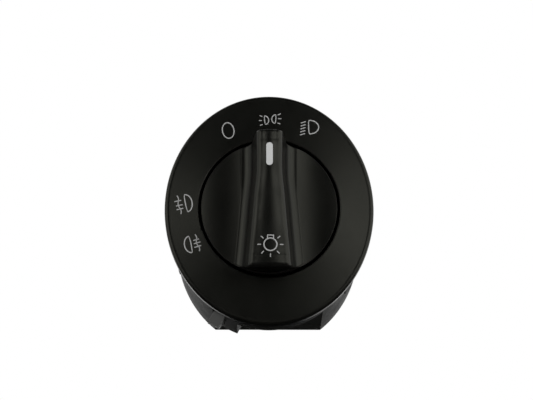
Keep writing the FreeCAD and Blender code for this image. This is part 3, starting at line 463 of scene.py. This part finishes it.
def make_knob_shell():
    shell = copy_of_node("knob_shell", "knob")
    pick(shell)
    bpy.ops.mesh.customdata_custom_splitnormals_clear()
    cut_end_rows(shell)
    full_top = -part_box("knob")[0][1] / MM
    foot = full_top - HANDLE_CROWN - HANDLE_HEIGHT + FOOT_HEIGHT
    for end in (1, -1):
        tighten_end(shell, end, foot)
    pick(shell)
    bpy.ops.object.shade_smooth_by_angle(angle=SMOOTH_ANGLE)
    shell.data.materials.clear()
    shell.data.materials.append(finishes["knob_black"])
    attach(shell, "knob")
    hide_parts("knob")
    return shell


knob_shell = make_knob_shell()


# Springs: copies of the CAD springs' coils, standing in for the hidden CAD springs

def make_working_spring(name, node):
    """Copy of the CAD spring's coil with its place baked into the mesh, standing in for the hidden CAD
    spring.
    """
    spring = copy_of_node(name, node)
    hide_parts(node)
    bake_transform(spring)


make_working_spring("push_spring_coil", "push_spring")


make_working_spring("latch_spring_coil", "latch_spring")


# Printed symbols: each is drawn flat in front of the face, x to the right and z up in
# millimetres, and then pressed onto what carries it.

PRINT_LINE = 0.4
FINE = 0.36
PRINT_START = -30 * MM
FILM = 0.00005
STROKE_CUTS = 3
OVAL_POINTS = 64
HALF_TOLERANCE = 1e-7
WAVE_STEPS = 18
WAVE_TURNS = 1.5
WAVE_SWING = 0.3
WAVE_OVERLAP = 0.06


def line_stroke(start, end, width):
    """Thin straight stroke with a few cuts along it."""
    middle = ((start[0] + end[0]) / 2 * MM, PRINT_START, (start[1] + end[1]) / 2 * MM)
    length = math.hypot(end[0] - start[0], end[1] - start[1])
    angle = math.atan2(end[1] - start[1], end[0] - start[0])
    clear_selection()
    bpy.ops.mesh.primitive_plane_add(size=1, location=middle, rotation=(math.pi / 2, -angle, 0))
    stroke = bpy.context.object
    stroke.scale = (length * MM, width * MM, 1)
    settle(stroke)
    start_editing(stroke)
    bpy.ops.mesh.subdivide(number_cuts=STROKE_CUTS)
    stop_editing()
    return stroke


def fine_lines(*ends):
    return [line_stroke(start, end, FINE) for start, end in ends]


def cut_to_half(stroke, keep):
    """Keep the right half (1) or the left half (-1)."""
    start_editing(stroke)
    bpy.ops.mesh.select_all(action="DESELECT")
    stop_editing()
    for vertex in stroke.data.vertices:
        vertex.select = vertex.co.x * keep < -HALF_TOLERANCE
    bpy.ops.object.mode_set(mode="EDIT")
    bpy.ops.mesh.delete(type="VERT")
    stop_editing()


def oval_stroke(centre, half_width, half_height, tilt=0.0, keep=None, width=PRINT_LINE):
    """Oval stroke, whole or half of one, leaned to the left by tilt degrees."""
    clear_selection()
    bpy.ops.mesh.primitive_circle_add(vertices=OVAL_POINTS, radius=1, fill_type="NOTHING",
                                      location=(0, 0, 0), rotation=(math.pi / 2, 0, 0))
    stroke = bpy.context.object
    stroke.scale = (half_width * MM, half_height * MM, 1)
    settle(stroke)
    start_editing(stroke)
    bpy.ops.mesh.extrude_edges_move()
    inward = ((half_width - width) / half_width, 1, (half_height - width) / half_height)
    bpy.ops.transform.resize(value=inward, center_override=(0, 0, 0))
    stop_editing()
    if keep:
        cut_to_half(stroke, keep)
    stroke.rotation_euler = (0, -math.radians(tilt), 0)
    stroke.location = (centre[0] * MM, PRINT_START, centre[1] * MM)
    settle(stroke)
    return stroke


def lens_strokes(centre, bulge, back, half_height, tilt, side, width=PRINT_LINE):
    """Outline of a lamp seen from the side: a bulge toward side, and a nearly straight back."""
    return [oval_stroke(centre, bulge, half_height, tilt, side, width),
            oval_stroke(centre, back, half_height, tilt, -side, width)]


def wave_strokes(start, end):
    """Wavy line from start to end."""
    pieces = []
    along = Vector((end[0] - start[0], end[1] - start[1]))
    side = Vector((-along.y, along.x)).normalized()
    previous = None
    for i in range(WAVE_STEPS + 1):
        share = i / WAVE_STEPS
        swing = side * WAVE_SWING * math.sin(share * WAVE_TURNS * 2 * math.pi)
        spot = Vector(start) + along * share + swing
        if previous is not None:
            reach = (spot - previous).normalized() * WAVE_OVERLAP
            pieces.append(line_stroke(previous - reach, spot + reach, FINE))
        previous = spot
    return pieces


def press_onto(symbol, carrier, body):
    """Press a flat symbol onto its carrier's face as a thin film of ink."""
    face_outward(symbol)
    wrap = symbol.modifiers.new("press", "SHRINKWRAP")
    wrap.target = carrier
    wrap.wrap_method = "PROJECT"
    wrap.use_project_y = True
    wrap.use_positive_direction = True
    wrap.use_negative_direction = False
    bpy.ops.object.modifier_apply(modifier=wrap.name)
    film = symbol.modifiers.new("film", "SOLIDIFY")
    film.thickness = FILM
    film.offset = 0
    bpy.ops.object.modifier_apply(modifier=film.name)
    face_outward(symbol)
    symbol.data.materials.clear()
    symbol.data.materials.append(finishes["symbol_print"])
    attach(symbol, body)


off_symbol = join_pieces([oval_stroke((-14.6, 28.65), 2.25, 3.2, 11)], "off_symbol")

parking_symbol = join_pieces(
    lens_strokes((-1.45, 32.5), 1.45, 0.4, 1.8, 6, 1, FINE)
    + fine_lines(((-3.4, 34.3), (-2.45, 33.9)), ((-3.65, 32.4), (-2.6, 32.35)),
                 ((-3.3, 30.5), (-2.35, 30.85)))
    + lens_strokes((2.15, 32.95), 1.4, 0.4, 1.8, -5, -1, FINE)
    + fine_lines(((3.05, 34.5), (4.15, 35.05)), ((3.1, 33.1), (4.35, 33.1)),
                 ((2.95, 31.45), (4.0, 31.1))),
    "parking_symbol")

BEAM_RAYS = 5
BEAM_SHIFT = 0.08
BEAM_PITCH = 1.14

beam_symbol = join_pieces(
    lens_strokes((14.35, 30.0), 3.5, 0.5, 2.8, 2, 1)
    + fine_lines(*(((11.28 - BEAM_SHIFT * i, 31.5 - BEAM_PITCH * i),
                    (13.1 - BEAM_SHIFT * i, 32.1 - BEAM_PITCH * i)) for i in range(BEAM_RAYS))),
    "beam_symbol")

front_fog_symbol = join_pieces(
    lens_strokes((-29.3, 1.85), 2.3, 0.5, 3.35, 12, 1)
    + fine_lines(((-33.5, 2.55), (-31.1, 3.0)), ((-32.9, 0.95), (-30.55, 1.4)),
                 ((-32.7, -0.45), (-30.3, 0.05)))
    + wave_strokes((-32.6, 4.7), (-31.15, -2.0)),
    "front_fog_symbol")

rear_fog_symbol = join_pieces(
    lens_strokes((-27.75, -13.05), 2.25, 0.5, 3.15, 12, -1)
    + fine_lines(((-26.7, -11.7), (-24.75, -11.2)), ((-26.5, -12.9), (-24.2, -12.25)),
                 ((-26.3, -14.2), (-23.9, -13.55)))
    + wave_strokes((-26.1, -9.6), (-24.5, -15.5)),
    "rear_fog_symbol")

for symbol in (off_symbol, parking_symbol, beam_symbol, front_fog_symbol, rear_fog_symbol):
    press_onto(symbol, nodes["bezel"], "housing")

LAMP_CENTRE = (0.3, -16.5)
LAMP_RADIUS = 2.45
LAMP_LINE = 0.42
RAY_INNER = 3.25
RAY_OUTER = 4.5
RAY_ANGLES = (0, 42, 138, 180, 226, 270, 314)


def lamp_ray(degrees):
    """Ends of one ray of the lamp."""
    angle = math.radians(degrees)
    return [(LAMP_CENTRE[0] + reach * math.cos(angle), LAMP_CENTRE[1] + reach * math.sin(angle))
            for reach in (RAY_INNER, RAY_OUTER)]


lamp_symbol = join_pieces(
    [oval_stroke(LAMP_CENTRE, LAMP_RADIUS, LAMP_RADIUS, width=LAMP_LINE)]
    + fine_lines(((-0.85, -13.2), (1.5, -13.2)), ((-0.7, -13.15), (-0.7, -14.3)),
                 ((1.35, -13.15), (1.35, -14.3)))
    + fine_lines(*(lamp_ray(degrees) for degrees in RAY_ANGLES)),
    "lamp_symbol")
press_onto(lamp_symbol, knob_shell, "knob")


# Floor and room

FLOOR_SIZE = 4
FLOOR_LEVEL = -0.24
FLOOR_TONES = ((0.5, 0.5, 0.5), (0.54, 0.54, 0.54))
FLOOR_WHITENING = 0.75
ROOM_LIGHT = 0.45
WHITE = (1.0, 1.0, 1.0)


def looked_at(tree):
    """1 where the surface is looked at, straight, in a mirror or through glass, and 0 where it lights."""
    path = tree.nodes.new("ShaderNodeLightPath")
    seen = add_math(tree, "MAXIMUM", path.outputs["Is Camera Ray"], path.outputs["Is Transmission Ray"])
    return add_math(tree, "MAXIMUM", seen, path.outputs["Is Glossy Ray"])


def make_floor():
    """Pale floor that keeps the object's shadow."""
    clear_selection()
    bpy.ops.mesh.primitive_plane_add(size=FLOOR_SIZE, location=(0, 0, FLOOR_LEVEL))
    floor = bpy.context.object
    floor.name = "floor"
    settle(floor)
    material, tree, shader = start_material("floor_white")
    grain = place_group(tree, moulded_grain, Grain_Scale=60.0, Patch_Scale=3.0)
    tone = blend_colours(tree, grain.outputs["Patches"], *FLOOR_TONES)
    tree.links.new(tone, shader.inputs["Base Color"])
    shader.inputs["Roughness"].default_value = 0.8
    white = tree.nodes.new("ShaderNodeEmission")
    feed(tree, white.inputs["Color"], WHITE)
    both = tree.nodes.new("ShaderNodeMixShader")
    tree.links.new(add_math(tree, "MULTIPLY", looked_at(tree), FLOOR_WHITENING), both.inputs["Fac"])
    tree.links.new(shader.outputs[0], both.inputs[1])
    tree.links.new(white.outputs[0], both.inputs[2])
    tree.links.new(both.outputs[0], tree.nodes["Material Output"].inputs["Surface"])
    floor.data.materials.append(material)


def make_room():
    """Room that is white to look at and lights the object more softly."""
    world = bpy.data.worlds.new("studio")
    bpy.context.scene.world = world
    world.use_nodes = True
    tree = world.node_tree
    background = tree.nodes["Background"]
    feed(tree, background.inputs["Color"], WHITE)
    tree.links.new(add_math(tree, "MAXIMUM", looked_at(tree), ROOM_LIGHT), background.inputs["Strength"])


make_floor()
make_room()


# Cards that only reflections see, as the walls around a camera are. Lengths are in metres.

ROOM_SIDE = 0.8
ROOM_FRONT = -0.86
ROOM_BACK = 1.2
CARD_FOOT = -0.235
CARD_TOP = 1.0


def card_material(name, grey):
    material = bpy.data.materials.new(name)
    material.use_nodes = True
    tree = material.node_tree
    tree.nodes.remove(tree.nodes["Principled BSDF"])
    glow = tree.nodes.new("ShaderNodeEmission")
    feed(tree, glow.inputs["Color"], (grey, grey, grey))
    glow.inputs["Strength"].default_value = 1.0
    tree.links.new(glow.outputs[0], tree.nodes["Material Output"].inputs["Surface"])
    return material


def studio_card(name, material, corners):
    mesh = bpy.data.meshes.new(name)
    mesh.from_pydata(corners, [], [(0, 1, 2, 3)])
    card = bpy.data.objects.new(name, mesh)
    bpy.context.scene.collection.objects.link(card)
    mesh.materials.append(material)
    card.visible_camera = False
    card.visible_diffuse = False
    card.visible_shadow = False
    card.visible_transmission = False


def across(left, right, low, high, y):
    """Corners of an upright card that stands across the view."""
    return [(left, y, low), (right, y, low), (right, y, high), (left, y, high)]


def beside(x, near, far):
    """Corners of an upright card that stands at the side."""
    return [(x, near, CARD_FOOT), (x, far, CARD_FOOT), (x, far, CARD_TOP), (x, near, CARD_TOP)]


black = card_material("card_black", 0.01)
studio_card("camera_card", black, across(-0.33, 0.2, CARD_FOOT, 0.8, ROOM_FRONT))
studio_card("low_card", black, across(-ROOM_SIDE, ROOM_SIDE, CARD_FOOT, -0.06, ROOM_FRONT))
studio_card("high_card", black, across(-ROOM_SIDE, ROOM_SIDE, 0.42, CARD_TOP, ROOM_FRONT))
studio_card("upper_card", black, [(-ROOM_SIDE, ROOM_FRONT, CARD_TOP), (ROOM_SIDE, ROOM_FRONT, CARD_TOP),
                                  (ROOM_SIDE, 0.3, 1.1), (-ROOM_SIDE, 0.3, 1.1)])
studio_card("table_card", black, [(-ROOM_SIDE, ROOM_BACK, CARD_FOOT), (ROOM_SIDE, ROOM_BACK, CARD_FOOT),
                                  (ROOM_SIDE, -ROOM_BACK, CARD_FOOT), (-ROOM_SIDE, -ROOM_BACK, CARD_FOOT)])
studio_card("back_low_card", black, across(-0.2, 0.2, CARD_FOOT, 0.08, ROOM_BACK))
studio_card("left_wall", card_material("card_left", 0.45), beside(-ROOM_SIDE, -0.5, 0.6))
studio_card("right_wall", card_material("card_right", 0.75), beside(ROOM_SIDE, -0.6, 0.6))


# Lights

def softbox(name, place, target, width, height, watts):
    lamp = bpy.data.lights.new(name, "AREA")
    lamp.shape = "RECTANGLE"
    lamp.size = width
    lamp.size_y = height
    lamp.energy = watts
    box = bpy.data.objects.new(name, lamp)
    bpy.context.scene.collection.objects.link(box)
    box.location = place
    box.rotation_mode = "QUATERNION"
    box.rotation_quaternion = (Vector(target) - Vector(place)).to_track_quat("-Z", "Y")
    box.visible_glossy = False


softbox("left_softbox", (-0.75, -0.3, 0.2), (0, 0, 0), width=0.7, height=0.7, watts=5.0)
softbox("right_softbox", (0.7, -0.4, 0.15), (0, 0, 0), width=0.7, height=0.7, watts=6.0)
softbox("top_softbox", (0, 0.1, 0.9), (0, 0.02, 0), width=0.7, height=0.5, watts=3.0)


# Camera: it looks slightly up at the face, and its aim is off the target by a few of the
# picture's pixels, as the object stands in the picture.

TILT = math.radians(14.3)
SWING = math.radians(-0.5)
DISTANCE = 0.8
SENSOR_WIDTH = 36.0
PICTURE_WIDTH = 533.0
FOCAL_LENGTH = 2267.0
PIXELS_PER_METRE = 2834.0
AIM_LEFT = 2.7
AIM_UP = 8.2

back = Vector((math.sin(SWING) * math.cos(TILT), -math.cos(SWING) * math.cos(TILT), -math.sin(TILT)))
target = Vector((0, -4.5 * MM, 0))
turn = (-back).to_track_quat("-Z", "Y")
right = turn @ Vector((1, 0, 0))
up = turn @ Vector((0, 1, 0))
aim = target - right * (AIM_LEFT / PIXELS_PER_METRE) + up * (AIM_UP / PIXELS_PER_METRE)

camera_data = bpy.data.cameras.new("camera")
camera_data.lens = SENSOR_WIDTH * FOCAL_LENGTH / PICTURE_WIDTH
camera_data.clip_start = 0.01
camera = bpy.data.objects.new("camera", camera_data)
bpy.context.scene.collection.objects.link(camera)
camera.location = target + back * DISTANCE
camera.rotation_mode = "QUATERNION"
camera.rotation_quaternion = (aim - camera.location).to_track_quat("-Z", "Y")
bpy.context.scene.camera = camera

bpy.context.scene.view_settings.view_transform = "Standard"
